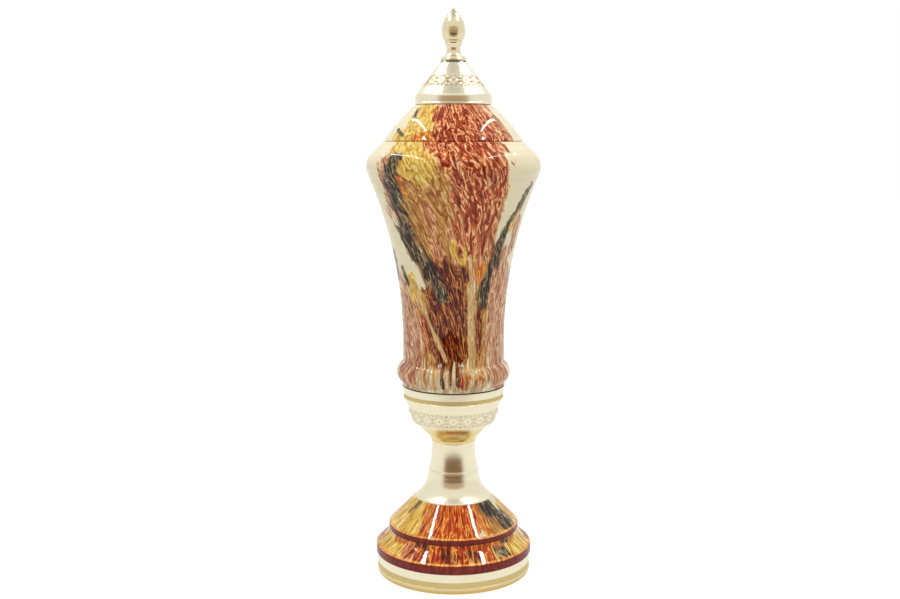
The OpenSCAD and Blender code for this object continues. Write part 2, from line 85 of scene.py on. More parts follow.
# Tufts 0.6 mm across, coarser than the real fibres so that they show
fibres = add(tree, "TexNoise", Vector=place, Scale=1800.0, Detail=4.0, Roughness=0.7)
mottle = add(tree, "ValToRGB", Fac=fibres.outputs["Fac"])
mottle.color_ramp.elements[0].position, mottle.color_ramp.elements[1].position = 0.35, 0.65
mottle.color_ramp.elements[0].color = linear(felt_green)
mottle.color_ramp.elements[1].color = linear(felt_green_worn)
fuzz = add(tree, "Bump", Strength=0.5, Distance=0.0003, Height=fibres.outputs["Fac"])
cloth = add(tree, "BsdfPrincipled", Base_Color=mottle.outputs["Color"], Roughness=0.95,
            Sheen_Weight=0.3, Normal=fuzz.outputs["Normal"])
tree.links.new(cloth.outputs["BSDF"], out.inputs["Surface"])
dress(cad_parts["base_felt"], felt)
dress(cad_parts["lid_pad"], felt)


# ---- Ring round the foot ----
# Spun sheet metal, plated in pale champagne. A sunk satin band runs round it between
# two bright bands. It is turned in under the disc that closes the foot.

MM = 0.001


def arc(centre, radius, first, last, steps):
    """Points of an arc round a centre (r, z), from angle first to angle last in degrees."""
    turns = [math.radians(first + (last - first) * i / steps) for i in range(steps + 1)]
    return [(centre[0] + radius * math.cos(t), centre[1] + radius * math.sin(t)) for t in turns]


def turned(name, outline, steps, finest=None, rounding=0.0):
    """Spins a closed outline of (r, z) points in mm round the axis into a mesh object.
    Stretches longer than finest are divided, and sharp corners are rounded."""
    bm = bmesh.new()
    points = [bm.verts.new((r * MM, 0, z * MM)) for r, z in outline]
    for a, b in zip(points, points[1:] + points[:1]):
        on_axis = abs(a.co.x) < 1e-9 and abs(b.co.x) < 1e-9
        if not on_axis:
            bm.edges.new((a, b))
    if rounding:
        corners = []
        for v in bm.verts:
            if len(v.link_edges) != 2 or v.co.x <= 1e-6:
                continue
            arms = [edge.other_vert(v).co - v.co for edge in v.link_edges]
            sharp = arms[0].angle(arms[1]) < math.radians(150)
            roomy = min(arm.length for arm in arms) > 2.2 * rounding * MM
            if sharp and roomy:
                corners.append(v)
        bmesh.ops.bevel(bm, geom=corners, offset=rounding * MM, offset_type="OFFSET", segments=3,
                        profile=0.5, affect="VERTICES", material=-1)
    if finest:
        for edge in list(bm.edges):
            cuts = int(edge.calc_length() / (finest * MM) - 0.001)
            if cuts > 0:
                bmesh.ops.subdivide_edges(bm, edges=[edge], cuts=cuts)
    # An eighth of the turn is spun, and then doubled three times
    bmesh.ops.spin(bm, geom=bm.verts[:] + bm.edges[:], cent=(0, 0, 0), axis=(0, 0, 1),
                   angle=math.pi / 4, steps=steps // 8, use_merge=False)
    for turn in (1, 2, 4):
        copy = bmesh.ops.duplicate(bm, geom=bm.verts[:] + bm.edges[:] + bm.faces[:])
        bmesh.ops.rotate(bm, verts=[v for v in copy["geom"] if isinstance(v, bmesh.types.BMVert)],
                         cent=(0, 0, 0), matrix=Matrix.Rotation(turn * math.pi / 4, 3, "Z"))
    bmesh.ops.remove_doubles(bm, verts=bm.verts[:], dist=2e-6)
    bmesh.ops.dissolve_degenerate(bm, dist=1e-7, edges=bm.edges[:])
    bmesh.ops.recalc_face_normals(bm, faces=bm.faces[:])
    for face in bm.faces:
        face.smooth = True
    mesh = bpy.data.meshes.new(name)
    bm.to_mesh(mesh)
    bm.free()
    # Corners of more than 32 degrees stay crisp
    mesh.set_sharp_from_angle(angle=math.radians(32))
    piece = bpy.data.objects.new(name, mesh)
    bpy.context.scene.collection.objects.link(piece)
    return piece


champagne, champagne_cloud, champagne_satin, tarnish = "#ece5cd", "#e3d9b6", "#cdb87c", "#8a6a35"

# Radii and heights in mm
ring_r, ring_inner_r, ring_lip_r, satin_r = 62.1, 61.1, 56.1, 61.8
ring_foot, ring_top, satin_low, satin_high = 0.5, 16.6, 5.3, 10.1
ring_outline = (
    [(ring_lip_r, ring_foot)] + arc((60.1, 2.5), 2.0, -90, 0, 8)
    + [(ring_r, satin_low), (satin_r, satin_low + 0.3), (satin_r, satin_high - 0.3),
       (ring_r, satin_high), (ring_r, ring_top), (ring_inner_r, ring_top), (ring_inner_r, 2.5),
       (60.1, 1.5), (ring_lip_r, 1.5)]
)
ring = turned("foot_ring", ring_outline, 256, finest=3)


def plating(name, satin=None, painted_reflection=None, relief=0.0, body=champagne):
    """Champagne plating on spun metal: fine lathe rings, faint clouding, and soft gloss.
    satin gives the heights in mm of a duller band, and relief darkens the hollows of an embossing. The
    argument after satin gives two heights in mm and a colour for a painted reflection of the darker
    floor near the object: below the first height the plating takes that colour, and by the second it
    has paled to champagne."""
    material, tree, out = finish_of(name)
    place = add(tree, "TexCoord").outputs["Object"]
    height = add(tree, "SeparateXYZ", Vector=place).outputs["Z"]
    # The spinning tool leaves rings 1 mm apart and finer: noise squeezed along the axis
    lines = add(tree, "Mapping", Vector=place, Scale=(6.0, 6.0, 900.0))
    rings = add(tree, "TexNoise", Vector=lines.outputs["Vector"], Scale=1.0, Detail=3.0)
    clouds = add(tree, "TexNoise", Vector=place, Scale=45.0, Detail=3.0)
    tone = add(tree, "Mix", {"data_type": "RGBA"}, Factor=clouds.outputs["Fac"],
               A=linear(body), B=linear(champagne_cloud)).outputs["Result"]
    gloss = add(tree, "MapRange", Value=rings.outputs["Fac"], From_Min=0.3, From_Max=0.7,
                To_Min=0.16, To_Max=0.26).outputs["Result"]
    # Painted reflection of the darker floor: the plating is golder low down and pales upwards to
    # champagne
    if painted_reflection:
        painted_reflection_share = add(tree, "MapRange", {"interpolation_type": "SMOOTHSTEP"}, Value=height,
                     From_Min=painted_reflection[0] * MM, From_Max=painted_reflection[1] * MM).outputs["Result"]
        tone = add(tree, "Mix", {"data_type": "RGBA"}, Factor=painted_reflection_share, A=linear(painted_reflection[2]),
                   B=tone).outputs["Result"]
    if satin:
        over = add(tree, "Math", {"operation": "GREATER_THAN"}, i0=height, i1=satin[0] * MM)
        under = add(tree, "Math", {"operation": "LESS_THAN"}, i0=height, i1=satin[1] * MM)
        band = add(tree, "Math", {"operation": "MULTIPLY"}, i0=over.outputs[0],
                   i1=under.outputs[0]).outputs[0]
        tone = add(tree, "Mix", {"data_type": "RGBA"}, Factor=band, A=tone,
                   B=linear(champagne_satin)).outputs["Result"]
        gloss = add(tree, "MapRange", Value=band, To_Min=0.24, To_Max=0.45).outputs["Result"]
    metallic = 1.0
    if relief:
        depth = add(tree, "Attribute", {"attribute_name": "hollow"}).outputs["Fac"]
        depth = add(tree, "Math", {"operation": "MULTIPLY"}, i0=depth, i1=relief).outputs[0]
        tone = add(tree, "Mix", {"data_type": "RGBA"}, Factor=depth, A=tone,
                   B=linear(tarnish)).outputs["Result"]
        gloss = add(tree, "Mix", Factor=depth, i2=gloss, i3=0.8).outputs[0]
        metallic = add(tree, "MapRange", Value=depth, To_Min=1.0, To_Max=0.2).outputs["Result"]
    grooves = add(tree, "Bump", Strength=0.3, Distance=0.00006, Height=rings.outputs["Fac"])
    # The rings spread the light up and down
    around = add(tree, "Tangent", {"direction_type": "RADIAL", "axis": "Z"})
    metal = add(tree, "BsdfPrincipled", Base_Color=tone, Metallic=metallic, Roughness=gloss,
                Anisotropic=0.6, Normal=grooves.outputs["Normal"], Tangent=around.outputs["Tangent"])
    tree.links.new(metal.outputs["BSDF"], out.inputs["Surface"])
    return material


# Its lower band is painted golden up to 8 mm, a painted reflection of the darker floor close to the
# foot
dress(ring, plating("champagne_plating_ring", satin=(satin_low, satin_high),
                    painted_reflection=(1.0, 8.0, "#c2a050")))
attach(ring, "trophy")
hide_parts("base_ring")


# ---- Disc, tie rod, nuts and washers ----
# A birch disc closes the foot. One zinc-plated steel rod runs up the axis, with a washer
# and a nut at each end, and pulls foot, stem, bowl and cup together.

birch, tree, out = finish_of("raw_birch")
place = add(tree, "TexCoord").outputs["Object"]
# Bare birch is pale, matt and rough. Growth rings 5 mm apart, wide enough to show, lie on
# the face of a board cut along the grain.
board = add(tree, "Mapping", Vector=place, Scale=(1.0, 0.12, 1.0), Location=(0.3, 0.1, 0.05))
growth = add(tree, "TexWave", {"wave_type": "RINGS", "rings_direction": "Y"},
             Vector=board.outputs["Vector"], Scale=60.0, Distortion=3.0, Detail=2.0,
             Detail_Scale=20.0)
pores = add(tree, "TexNoise", Vector=board.outputs["Vector"], Scale=1500.0, Detail=3.0)
grain = add(tree, "Mix", {"data_type": "RGBA"}, Factor=growth.outputs["Fac"],
            A=linear("#c39a66"), B=linear("#a97c48")).outputs["Result"]
rough = add(tree, "Bump", Strength=0.4, Distance=0.0002, Height=pores.outputs["Fac"])
wood = add(tree, "BsdfPrincipled", Base_Color=grain, Roughness=0.7, Normal=rough.outputs["Normal"])
tree.links.new(wood.outputs["BSDF"], out.inputs["Surface"])
dress(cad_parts["base_disc"], birch)
dress(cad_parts["lid_core"], birch)

zinc, tree, out = finish_of("zinc_plated_steel")
place = add(tree, "TexCoord").outputs["Object"]
# Zinc plating is grey, half bright and faintly mottled. The rods' thread is a wave up the
# axis, drawn with 2 mm pitch, twice the real one, so that it shows.
thread = add(tree, "TexWave", {"wave_type": "BANDS", "bands_direction": "Z"},
             Vector=place, Scale=1000 / (2 * math.pi) * 0.99, Distortion=0.0)
spangle = add(tree, "TexNoise", Vector=place, Scale=600.0, Detail=2.0)
tone = add(tree, "Mix", {"data_type": "RGBA"}, Factor=spangle.outputs["Fac"],
           A=linear("#b4b6b4"), B=linear("#8f9290")).outputs["Result"]
ridges = add(tree, "Bump", Strength=0.6, Distance=0.0003, Height=thread.outputs["Fac"])
steel = add(tree, "BsdfPrincipled", Base_Color=tone, Metallic=1.0, Roughness=0.36,
            Normal=ridges.outputs["Normal"])
tree.links.new(steel.outputs["BSDF"], out.inputs["Surface"])
for name in ("tie_rod", "rod_bottom_nut", "rod_bottom_washer", "rod_top_nut", "rod_top_washer",
             "lid_stud", "lid_stud_nut", "lid_stud_washer"):
    dress(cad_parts[name], zinc)


# ---- Marbled lacquer ----
# Paint poured on the turning wood and drawn down by its run, so that it breaks into
# winding strands, dark at the rim and pale where it thins. A deep gloss lacquer covers it.

ivory, ivory_ring = "#f2e8c6", "#e3d6ac"
paints = {
    # name: (thick, full, thinned, pale strand, how far its edge wanders as a share of its width)
    # Pale sand of the bead, which also carries a painted highlight that pales the bead
    "sand_and_sheen": ("#9c7c54", "#c6a67c", "#d8bd96", "#e8d6b0", 0.9),
    "rose": ("#7e3c1e", "#b4714c", "#d19c70", "#eccea6", 0.9),
    "tan": ("#7a3f10", "#b06f28", "#c98e40", "#e2b870", 0.8),
    "salmon": ("#8e3a18", "#b96a38", "#d09058", "#ecc08c", 1.2),
    "yellow": ("#a5701a", "#dba936", "#e8c45c", "#f4dd8c", 0.9),
    "orange": ("#8f3404", "#c86312", "#df8a2a", "#f5b25a", 0.9),
    "crimson": ("#5a1404", "#9e320e", "#c9642e", "#f8c58a", 1.0),
    "vermilion": ("#6c0d01", "#a82a02", "#cb5206", "#f6ab42", 0.8),
    "maroon": ("#260400", "#601503", "#8e340c", "#d2934a", 0.9),
    "ink": ("#0c0806", "#2c2117", "#5f4a30", "#b3986a", 1.3),
    "bare": ("#b98a4c", "#c9a062", "#d3b077", "#e4c994", 0.6),
    "stain": ("#560b01", "#6e1302", "#7e1803", "#922409", 0.1),
    # Light gold of the foot's upper edges: partly worn edge, partly a painted highlight on their
    # rounding
    "worn_edge_and_highlight": ("#c06512", "#e28c30", "#f2a84c", "#fbc97c", 0.5),
}


def lay_paint(piece, pours, centre_line, spread, draw):
    """Writes to the vertices of a piece one number per paint, from the strokes it was poured
    in, and the coordinates of the run. A stroke is angle and height of one end, the same of
    the other (degrees from the front, right is positive, and mm), and a half width in mm.
    centre_line gives the run's middle in degrees, spread how far it fans out, and draw its
    length in mm, each as pairs with the height first."""
    mesh = piece.data
    co = np.zeros(len(mesh.vertices) * 3)
    mesh.vertices.foreach_get("co", co)
    co = co.reshape(-1, 3)
    radius = np.hypot(co[:, 0], co[:, 1]) / MM
    angle = np.arctan2(co[:, 0], -co[:, 1])
    height = co[:, 2] / MM
    bare_ground = -3.0
    for paint in paints:
        field = np.full(len(co), bare_ground)
        for a0, z0, a1, z1, half in pours.get(paint, ()):
            run = np.array([math.radians(a1 - a0), z1 - z0])
            side = (angle - math.radians(a0) + math.pi) % (2 * math.pi) - math.pi
            along = (side * radius * run[0] * radius + (height - z0) * run[1]) / (
                (run[0] * radius) ** 2 + run[1] ** 2 + 1e-6)
            along = np.clip(along, 0, 1)
            gap = np.hypot((side - along * run[0]) * radius, height - z0 - along * run[1])
            field = np.maximum(field, 1 - gap / half)
        layer = mesh.attributes.new(paint, "FLOAT", "POINT")
        layer.data.foreach_set("value", field.astype(np.float32))
    # The run fans out upwards from its centre line, and is drawn out along the wall
    off = angle - np.radians(np.interp(height, *zip(*centre_line)))
    fan = np.interp(height, *zip(*spread))
    turn = off + fan * np.sin(off)
    length, girth = np.interp(height, *zip(*draw)), 50 * (1 + fan) ** -0.35
    drawn = np.stack([girth * np.cos(turn), girth * np.sin(turn), length], 1) * MM
    layer = mesh.attributes.new("drawn", "FLOAT_VECTOR", "POINT")
    layer.data.foreach_set("vector", drawn.astype(np.float32).ravel())


lacquer, tree, out = finish_of("marbled_gloss_lacquer")
place = add(tree, "TexCoord").outputs["Object"]
drawn = add(tree, "Attribute", {"attribute_name": "drawn"}).outputs["Vector"]
# Strands 2 to 3 mm apart, the level lines of a noise that first sways by up to 2.4 mm
wander = add(tree, "Mapping", Vector=drawn, Scale=(1.0, 1.0, 2.6)).outputs["Vector"]
wander = add(tree, "TexNoise", Vector=wander, Scale=200.0, Detail=2.0).outputs["Color"]
wander = add(tree, "VectorMath", {"operation": "SUBTRACT"}, i0=wander,
             i1=(0.5, 0.5, 0.5)).outputs[0]
wander = add(tree, "VectorMath", {"operation": "MULTIPLY"}, i0=wander,
             i1=(0.0048, 0.0048, 0.002)).outputs[0]
swayed = add(tree, "VectorMath", {"operation": "ADD"}, i0=drawn, i1=wander).outputs[0]
flow = add(tree, "TexNoise", Vector=swayed, Scale=360.0, Detail=2.0, Roughness=0.4,
           Distortion=0.4).outputs["Fac"]
flow = add(tree, "Math", {"operation": "MULTIPLY"}, i0=flow, i1=8.5).outputs[0]
strand = add(tree, "Math", {"operation": "PINGPONG"}, i0=flow, i1=1.0).outputs[0]
# Each pour frays along the strands and wanders between them
fray = add(tree, "TexNoise", Vector=swayed, Scale=190.0, Detail=3.0, Roughness=0.6).outputs["Fac"]
fray = add(tree, "MapRange", Value=fray, From_Min=0.3, From_Max=0.7, To_Min=-0.6,
           To_Max=0.6).outputs["Result"]
fray = add(tree, "Math", {"operation": "MULTIPLY_ADD"}, i0=strand, i1=0.3, i2=fray).outputs[0]
# The ivory ground keeps faint rings of the turning, 2.4 mm apart and finer
stack = add(tree, "Mapping", Vector=place, Scale=(8.0, 8.0, 420.0)).outputs["Vector"]
turning = add(tree, "TexNoise", Vector=stack, Scale=1.0, Detail=3.0).outputs["Fac"]
colour = add(tree, "Mix", {"data_type": "RGBA"}, Factor=turning, A=linear(ivory),
             B=linear(ivory_ring)).outputs["Result"]
# Each paint covers those before it
for paint, (thick, full, thinned, pale, wandering) in paints.items():
    field = add(tree, "Attribute", {"attribute_name": paint}).outputs["Fac"]
    edge = add(tree, "Math", {"operation": "MULTIPLY_ADD"}, i0=fray, i1=wandering,
               i2=field).outputs[0]
    cover = add(tree, "MapRange", {"interpolation_type": "SMOOTHSTEP"}, Value=edge,
                From_Min=-0.02, From_Max=0.16).outputs["Result"]
    layer = add(tree, "ValToRGB", Fac=strand)
    stops = layer.color_ramp.elements
    for stop, code in zip([stops[0], stops.new(0.3), stops.new(0.74), stops[-1]],
                          (thick, full, thinned, pale)):
        stop.color = linear(code)
    stops[0].position, stops[-1].position = 0.04, 0.93
    colour = add(tree, "Mix", {"data_type": "RGBA"}, Factor=cover, A=colour,
                 B=layer.outputs["Color"]).outputs["Result"]
# The clear coat levels out in faint waves 11 mm long
orange_peel = add(tree, "TexNoise", Vector=place, Scale=90.0, Detail=1.0)
skin = add(tree, "Bump", Strength=0.12, Distance=0.0004, Height=orange_peel.outputs["Fac"])
paint_coat = add(tree, "BsdfPrincipled", Base_Color=colour, Roughness=0.45, Coat_Weight=0.5,
                 Coat_Roughness=0.03, Coat_IOR=1.5, Coat_Normal=skin.outputs["Normal"],
                 Specular_IOR_Level=0.05)
tree.links.new(paint_coat.outputs["BSDF"], out.inputs["Surface"])


# ---- Wooden foot ----
# Turned from one piece of wood: a rim, a cone that runs into a cove, an upper tier and a
# second cone. The upright faces of rim and tier are stained dark red-brown. The tie rod
# clamps it between disc and stem.

foot_outline = (
    [(0, 13.5), (60.9, 13.5), (60.9, 16.6), (62.1, 16.6)]
    + arc((62.1, 17.6), 1.0, -90, 0, 5) + arc((62.1, 23.2), 1.0, 0, 46.5, 5)
    + arc((59.3, 36.6), 7.0, 223.5, 180, 12) + [(52.1, 36.6), (52.6, 37.1)]
    + arc((51.6, 40.0), 1.0, 0, 46, 5)
    + [(31.3, 62.0), (27.5, 62.0), (27.5, 64.0), (0, 64.0)]
)
foot = turned("wooden_foot", foot_outline, 360, finest=0.8)


def hoop(z, half):
    """Two strokes that close into a band right round a piece, at one height."""
    return [(-90, z, 90, z, half), (90, z, 270, z, half)]


# Strokes of each paint. Stained faces run right round, and so do light gold lines on their upper edges,
# partly a worn edge and partly a painted highlight on the rounding.
foot_pours = {
    "rose": [(34, 60, 46, 45, 6), (-50, 27, -40, 26, 3)],
    "tan": [(-75, 30, -60, 22, 9), (30, 30, 48, 28, 8), (150, 30, 200, 25, 14),
            (26, 58, 44, 46, 9)],
    "yellow": [(-58, 58, -42, 47, 13), (-82, 52, -72, 43, 9), (-68, 30, -46, 28, 9),
               (56, 29, 76, 27, 9), (78, 52, 86, 43, 6), (120, 50, 150, 45, 10),
               (-150, 46, -120, 28, 10), (95, 28, 120, 28, 8)],
    "orange": [(-30, 60, -27, 44, 6), (26, 60, 34, 45, 4), (-60, 35.5, 60, 35.5, 3),
               (100, 50, 104, 40, 9), (-105, 55, -100, 40, 10), (175, 55, 185, 40, 12),
               (130, 36, 230, 36, 3)],
    "vermilion": [(-14, 61, -12, 44, 8), (3, 61, 4, 44, 13), (17, 61, 18, 44, 8),
                  (-24, 29, 26, 29, 6.5), (160, 60, 168, 44, 9), (-170, 28, -150, 28, 6)],
    "crimson": [(-40, 30, -34, 26, 4), (-34, 49, -31, 46, 1.6), (-20, 31, -14, 27, 3),
                (140, 30, 170, 30, 7), (-100, 28, -90, 26, 6)],
    "maroon": [(-6, 30, 2, 28, 3), (12, 30, 18, 28, 3), (-30, 36, -24, 34, 2.5),
               (90, 26, 110, 26, 5)],
    "ink": [(52, 60, 66, 46, 8.5), (-57, 61, -61, 54, 2), (38, 30, 45, 26, 3),
            (46, 36, 52, 34, 1.6), (-130, 58, -135, 44, 5), (200, 58, 205, 44, 4)],
    "stain": hoop(20.2, 4.0) + hoop(38.4, 2.4),
    # A light gold line on each upper edge: partly worn edge, partly a painted highlight
    "worn_edge_and_highlight": hoop(24.5, 0.6) + hoop(41.3, 0.6),
}
lay_paint(foot, foot_pours, centre_line=[(0, 0), (62, 4)], spread=[(0, -0.1), (62, 0.1)],
          draw=[(0, 0), (62, 9)])
dress(foot, lacquer)
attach(foot, "trophy")
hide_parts("base")


# ---- Stem ----
# Spun brass, plated as the ring: a bell that stands on the foot, and on it a slightly
# waisted tube. Both are closed at the top by a web that the tie rod passes.

wall, bell_foot, bell_top, tube_top = 1.2, 62.0, 85.0, 108.3
bell_neck_r, bell_flare = 20.6, math.radians(53)
# The flare runs out by 9.95 mm from the neck to the rim
bell_arc_r = 10.0 / (1 - math.cos(bell_flare)) * 0.995
bell_centre = (bell_neck_r + bell_arc_r, 63.0 + bell_arc_r * math.sin(bell_flare))
bell_outline = (
    [(29.9, bell_foot), (31.1, bell_foot)] + arc(bell_centre, bell_arc_r, 233, 187, 22)
    + [(20.16, bell_top), (0, bell_top), (0, bell_top - wall), (19.2, bell_top - wall)]
    + arc(bell_centre, bell_arc_r + wall, 182, 232, 12)
)
bell = turned("stem_bell_skin", bell_outline, 192, rounding=0.25)

# The tube narrows by 2.4 mm to its top, on an arc that ends upright
tube_h, tube_narrows, tube_top_r = 23.3, 2.4, 17.5
tube_arc_r = (tube_narrows ** 2 + tube_h ** 2) / (2 * tube_narrows)
tube_sweep = math.degrees(math.asin(tube_h / tube_arc_r))
tube_outline = (
    arc((tube_top_r + tube_arc_r, tube_top), tube_arc_r, 180 + tube_sweep, 180, 24)
    + [(0, tube_top), (0, tube_top - wall), (tube_top_r - wall, tube_top - wall), (18.7, bell_top)]
)
tube = turned("stem_tube_skin", tube_outline, 192, rounding=0.2)
spun = plating("champagne_plating")
for piece, node in ((bell, "stem_bell"), (tube, "stem_tube")):
    dress(piece, spun)
    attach(piece, "trophy")
    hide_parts(node)


# ---- Bowl ----
# Bowl of spun and plated brass, with a rounded lip, a bright band over a satin groove, a
# smooth shoulder and a rolled strip of lace diamonds on its wall. The tie rod clamps it
# between tube and cup, and a thin black rubber ring lies on its lip.

bowl_r, groove_r, groove_low, groove_high, bowl_top = 40.5, 40.15, 144.6, 148.1, 154.1
# A neck that flares more and more, and a wall that bulges by 0.8 mm
bowl_neck = [(18 + 14.6 * (0.6 * t + 0.4 * t ** 3), 109.5 + 14.4 * t)
             for t in (i / 16 for i in range(17))]
bowl_wall = [(32.6 + 4.1 * t + 0.8 * math.sin(math.pi * t), 123.9 + 13.1 * t)
             for t in (i / 34 for i in range(1, 35))]
bowl_outline = (
    [(0, tube_top), (18, tube_top)] + bowl_neck + bowl_wall
    + [(bowl_r, groove_low), (groove_r, 144.95), (groove_r, 147.75), (bowl_r, groove_high),
       (bowl_r, 152.1)]
    + arc((40.2, 153.1), 1.0, -60, 90, 8)
    + [(38.95, bowl_top), (38.95, groove_low), (35.5, 137), (31.4, 124), (16.8, 109.5), (0, 109.5)]
)
bowl = turned("bowl_skin", bowl_outline, 640)


def emboss(piece, foot_z, head_z, count, depth):
    """Presses a strip of lace diamonds into a turned wall between two heights, in mm.
    Each diamond has a beaded frame, a raised field and a pierced centre. u runs along the
    strip and v across it, from -1 to 1 over each diamond."""
    mesh = piece.data
    co = np.zeros(len(mesh.vertices) * 3)
    mesh.vertices.foreach_get("co", co)
    co = co.reshape(-1, 3)
    normal = np.zeros(len(mesh.vertices) * 3)
    mesh.vertices.foreach_get("normal", normal)
    normal = normal.reshape(-1, 3)
    v = (co[:, 2] / MM - foot_z) / (head_z - foot_z) * 2 - 1
    u = (np.arctan2(co[:, 0], -co[:, 1]) / (2 * np.pi) * count + 0.5) % 1 * 2 - 1
    outward = (co[:, :2] * normal[:, :2]).sum(1) > 0
    inside = (np.abs(v) < 1) & outward
    lattice = np.abs(u) + np.abs(v) * 1.05
    frame_line = np.exp(-((lattice - 0.9) / 0.10) ** 2) * (0.55 + 0.45 * np.cos((u - v) * 26))
    field = np.clip((0.72 - lattice) / 0.1, 0, 1)
    pierced = np.exp(-(np.hypot(u, v * 0.8) / 0.17) ** 2)
    petals = np.exp(-((np.hypot(np.abs(u) - 0.85, np.abs(v) - 0.8) - 0.25) / 0.08) ** 2)
    buds = np.exp(-(np.hypot(np.abs(u) - 0.95, np.abs(v) - 0.62) / 0.1) ** 2)
    height = 0.8 * field + 0.75 * frame_line + 0.6 * petals + 0.7 * buds - 1.1 * pierced - 0.35
    fade = np.clip((1 - np.abs(v)) / 0.12, 0, 1)
    height = np.where(inside, height * fade, 0)
    co += normal * (height * depth * MM)[:, None]
    mesh.vertices.foreach_set("co", co.ravel())
    hollow = np.where(inside, np.clip(-height * 1.7, 0, 1), 0)
    layer = mesh.attributes.new("hollow", "FLOAT", "POINT")
    layer.data.foreach_set("value", hollow.astype(np.float32))
    mesh.update()


emboss(bowl, foot_z=124.8, head_z=136.6, count=20, depth=0.3)
# Its neck is painted golden up to 114 mm and pales by 128 mm, a painted reflection of the darker floor
dress(bowl, plating("champagne_plating_bowl", satin=(144.7, 148.0),
                    painted_reflection=(114.0, 128.0, "#dfca86"), relief=0.5))
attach(bowl, "trophy")
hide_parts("bowl")

# Moulded rubber is dull and black, with a faint brown bloom
rubber, tree, out = finish_of("black_rubber")
place = add(tree, "TexCoord").outputs["Object"]
bloom = add(tree, "TexNoise", Vector=place, Scale=400.0, Detail=3.0)
tone = add(tree, "Mix", {"data_type": "RGBA"}, Factor=bloom.outputs["Fac"],
           A=linear("#17130f"), B=linear("#2a241d")).outputs["Result"]
seal = add(tree, "BsdfPrincipled", Base_Color=tone, Roughness=0.6)
tree.links.new(seal.outputs["BSDF"], out.inputs["Surface"])
dress(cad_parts["bowl_gasket"], rubber)
dress(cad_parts["finial_washer"], rubber)


# ---- Cup ----
# Hollow cup of turned wood: a full bead at the foot, a straight waist, a long flare, a
# rounded belly and a straight shoulder up to the crease. Its foot sits in the bowl, and the
# tie rod's upper nut holds it there.

waist_r, cup_foot, flare_foot, belly_z, crease_z = 40.5, 154.8, 190.0, 328.5, 347.6
flare_r, belly_r, cup_wall, slope = 342.0, 13.5, 8, math.radians(46)
flare_centre = (waist_r + flare_r, flare_foot)
join = math.degrees(math.asin((belly_z - flare_foot) / (flare_r + belly_r)))
belly_centre = (waist_r + (flare_r + belly_r) * (1 - math.cos(math.radians(join))) - belly_r, belly_z)
belly_end = (belly_centre[0] + belly_r * math.cos(slope), belly_z + belly_r * math.sin(slope))
crease_r = belly_end[0] - (crease_z - belly_end[1]) * math.tan(slope)
cup_outline = (
    [(0, 146.8), (38.8, 146.8), (38.8, cup_foot), (41.1, cup_foot)]
    + arc((35.8, 165.2), 9.8, -57.2, 61.3, 30)
    + arc(flare_centre, flare_r, 180, 180 - join, 140) + arc(belly_centre, belly_r, -join, 46, 20)
    + arc((crease_r - 0.6, 346.1), 1.5, 46, 90, 5) + [(46.9, crease_z), (46.9, 341.45)]
    + arc(belly_centre, belly_r - cup_wall, 46, -join, 8)
    + arc(flare_centre, flare_r + cup_wall, 180 - join, 180, 20)
    + arc((26.5, 170.3), 6.0, 0, -90, 6) + [(0, 164.3)]
)
cup = turned("cup_skin", cup_outline, 288, finest=4)
